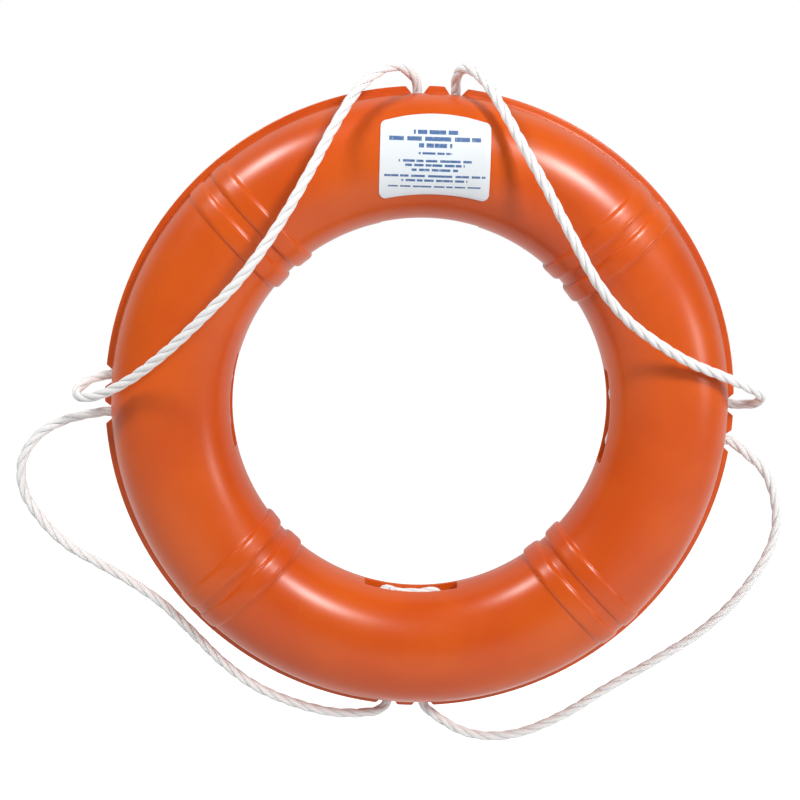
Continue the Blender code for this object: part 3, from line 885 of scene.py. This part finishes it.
# The label: a thin white vinyl sticker on the front, stuck down to the ring's curve. It is
# printed with plain blue bars of various lengths.
label_width = 0.100
label_height = 0.072
label_top = middle_radius + 0.0015 + label_height / 2
label_bottom = label_top - label_height
label_corner = 0.006
label_lean = 0.02  # it is stuck on a little askew
label_middle = (label_top + label_bottom) / 2
top_arch = 0.0065  # how far its edges curve down towards the sides
bottom_arch = 0.005


def label_edges(x):
    """Lowest and highest point of the label at that distance from its middle."""
    inner = label_width / 2 - label_corner
    share = min(1.0, abs(x) / inner)
    past = max(0.0, abs(x) - inner)
    cut = label_corner - math.sqrt(max(0.0, label_corner**2 - past**2))
    low = label_bottom - bottom_arch * share**2 + cut
    high = label_top - top_arch * share**2 - cut
    return low, high


def front_depth(radius, grown):
    share = min(1.0, abs(radius - middle_radius) / (half_width + grown))
    return (half_depth + grown) * (1 - share**section_power) ** (1 / section_power)


def label_sheet():
    shape = bmesh.new()
    inner = label_width / 2 - label_corner
    steps = [inner * k / 14 for k in range(15)]
    steps += [inner + label_corner * math.sin(math.pi / 2 * k / 6) for k in range(1, 6)]
    steps += [label_width / 2 - 0.00001]
    xs = [-x for x in reversed(steps[1:])] + steps
    rows = 20
    layers = []
    for grown, shrink in ((0.00035, 0.0), (0.00058, 0.0), (0.00070, 0.00022)):
        grid = []
        for x in xs:
            x_in = x * (1 - shrink / (label_width / 2))
            low, high = label_edges(x)
            low, high = low + shrink, high - shrink
            column = []
            for k in range(rows + 1):
                lift = low + (high - low) * k / rows - label_middle
                across = x_in - lift * label_lean
                z = label_middle + lift + x_in * label_lean
                column.append(shape.verts.new((across, -front_depth(math.hypot(across, z), grown), z)))
            grid.append(column)
        layers.append(grid)
    bottom, edge, top = layers
    for grid in (bottom, top):
        for column, ahead in zip(grid, grid[1:]):
            for k in range(rows):
                shape.faces.new((column[k], column[k + 1], ahead[k + 1], ahead[k])).smooth = True

    def border(grid):
        return (
            [column[0] for column in grid] + grid[-1][1:]
            + [column[-1] for column in reversed(grid[:-1])] + grid[0][-2:0:-1]
        )

    for under, over in ((border(bottom), border(edge)), (border(edge), border(top))):
        count = len(under)
        for k in range(count):
            after = (k + 1) % count
            shape.faces.new((under[k], under[after], over[after], over[k])).smooth = True
    loose = [vert for vert in shape.verts if not vert.link_faces]
    bmesh.ops.delete(shape, geom=loose, context="VERTS")
    bmesh.ops.recalc_face_normals(shape, faces=shape.faces)
    mesh = bpy.data.meshes.new("label_sticker")
    shape.to_mesh(mesh)
    shape.free()
    made = bpy.data.objects.new("label_sticker", mesh)
    scene.collection.objects.link(made)
    return made


sticker = label_sheet()
label_finish = bpy.data.materials.new("label_vinyl")
vinyl = Nodes(label_finish)
vinyl_shader = vinyl.tree.nodes["Principled BSDF"]
place = vinyl.add("ShaderNodeTexCoord", {}, {}, "Object")
level_place = vinyl.add("ShaderNodeSeparateXYZ", {}, {0: place}, "X")
height_place = vinyl.add("ShaderNodeSeparateXYZ", {}, {0: place}, "Z")
across = level_place + (height_place - label_middle) * label_lean
height = height_place - level_place * label_lean
# Two waves of different length along each bar leave gaps in it where both are low
second_wave = 1.62  # waves for each one of the first
second_share = 0.8
wave_shift = 3.1
gap_level = -1.05
# Each bar: height over the ring's middle, half thickness, half length and the length of one wave
bars_mm = [
    (261.3, 1.9, 20, 9), (255.3, 1.9, 42, 14), (249.4, 1.9, 15, 11), (242.4, 1.0, 15, 7),
    (235.6, 1.1, 33, 11), (231.8, 1.1, 27, 9), (227.6, 1.1, 21, 10), (222.2, 1.0, 46, 13),
    (218.2, 1.0, 30, 9), (212.8, 0.7, 42, 10),
]
print_mask = None
for middle, half_thick, half_long, wave_length in bars_mm:
    bar_mask = (abs(height - middle / 1000) < half_thick / 1000) * (abs(across) < half_long / 1000)
    wave = across * (math.tau * 1000 / wave_length)
    level_along = (wave + middle).sine() + (wave * second_wave + middle * wave_shift).sine() * second_share
    bar_mask = bar_mask * (level_along > gap_level)
    print_mask = bar_mask if print_mask is None else print_mask + bar_mask
ink_wear = vinyl.add("ShaderNodeTexNoise", {}, {"Vector": place, "Scale": 420.0, "Detail": 3.0})
ink = print_mask.lowest(1.0) * (0.72 + ink_wear.rise(0.3, 0.5) * 0.28)
aged = vinyl.add("ShaderNodeTexNoise", {}, {"Vector": place, "Scale": 25.0, "Detail": 3.0})
paper = vinyl.mix(aged, (0.80, 0.84, 0.87, 1.0), (0.74, 0.79, 0.83, 1.0))
vinyl.feed(vinyl_shader.inputs["Base Color"], vinyl.mix(ink, paper, (0.055, 0.14, 0.33, 1.0)))
vinyl.feed(vinyl_shader.inputs["Roughness"], 0.34 + aged * 0.08 + ink * 0.08)
relief = aged * 0.5 + ink * 0.2
bumped = vinyl.add("ShaderNodeBump", {}, {"Strength": 0.1, "Distance": 0.0003, "Height": relief}, "Normal")
vinyl.feed(vinyl_shader.inputs["Normal"], bumped)
sticker.data.materials.append(label_finish)
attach(sticker, "ring")
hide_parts("label")

# The plugs: two turned discs of the shell's plastic, pressed into the back where the foam goes in
# and where the air comes out. Each has a shallow dish and a rounded edge.
for name, angle in plug_angles.items():
    profile = [
        (0.0080, -0.0036), (0.0080, -0.0019), (plug_head_radius - 0.0003, -0.0017),
        (plug_head_radius, -0.0014), (plug_head_radius, -0.0006), (plug_head_radius - 0.0002, -0.0003),
        (plug_head_radius - 0.0006, -0.0002), (0.0095, -0.0002), (0.0089, -0.0003), (0.0083, -0.0008),
        (0.0075, -0.0010), (0.0040, -0.0011),
    ]
    loops = []
    for wide, level_up in profile:
        loops.append([(wide * math.cos(math.tau * k / 48), wide * math.sin(math.tau * k / 48), level_up)
                      for k in range(48)])
    plug_mesh = loft(f"{name}_disc", loops)
    plug_mesh.transform(at_plug(angle))
    plug_mesh.shade_smooth()
    plug_mesh.set_sharp_from_angle(angle=math.radians(40))
    plug_mesh.materials.append(shell_finish)
    disc = bpy.data.objects.new(f"{name}_disc", plug_mesh)
    scene.collection.objects.link(disc)
    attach(disc, "ring")
    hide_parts(name)

# The core: rigid cream foam poured into the closed shell, which it fills. It keeps its CAD solid.
foam_finish = bpy.data.materials.new("cream_foam")
foam = Nodes(foam_finish)
foam_shader = foam.tree.nodes["Principled BSDF"]
place = foam.add("ShaderNodeTexCoord", {}, {}, "Object")
cells = foam.add("ShaderNodeTexVoronoi", {}, {"Vector": place, "Scale": 700.0})
patches = foam.add("ShaderNodeTexNoise", {}, {"Vector": place, "Scale": 30.0, "Detail": 3.0})
foam.feed(foam_shader.inputs["Base Color"],
          foam.mix(patches, (0.84, 0.76, 0.52, 1.0), (0.74, 0.63, 0.38, 1.0)))
foam.feed(foam_shader.inputs["Roughness"], 0.85 + cells * 0.1)
bumped = foam.add("ShaderNodeBump", {}, {"Strength": 0.6, "Distance": 0.0005, "Height": cells}, "Normal")
foam.feed(foam_shader.inputs["Normal"], bumped)

# The sleeves: eight lengths of grey plastic pipe that carry the rope through the foam, cast into
# it. They keep their CAD solids too.
sleeve_finish = bpy.data.materials.new("grey_pipe")
pipe = Nodes(sleeve_finish)
pipe_shader = pipe.tree.nodes["Principled BSDF"]
place = pipe.add("ShaderNodeTexCoord", {}, {}, "Object")
drawn = pipe.add("ShaderNodeTexNoise", {}, {"Vector": place, "Scale": 260.0, "Detail": 3.0})
pipe.feed(pipe_shader.inputs["Base Color"],
          pipe.mix(drawn, (0.70, 0.70, 0.68, 1.0), (0.60, 0.60, 0.58, 1.0)))
pipe.feed(pipe_shader.inputs["Roughness"], 0.40 + drawn * 0.15)
bumped = pipe.add("ShaderNodeBump", {}, {"Strength": 0.2, "Distance": 0.0003, "Height": drawn}, "Normal")
pipe.feed(pipe_shader.inputs["Normal"], bumped)
for node, obj in frame["nodes"].items():
    if node == "foam_core" or node.startswith("rope_sleeve"):
        obj.data.materials.clear()
        obj.data.materials.append(foam_finish if node == "foam_core" else sleeve_finish)
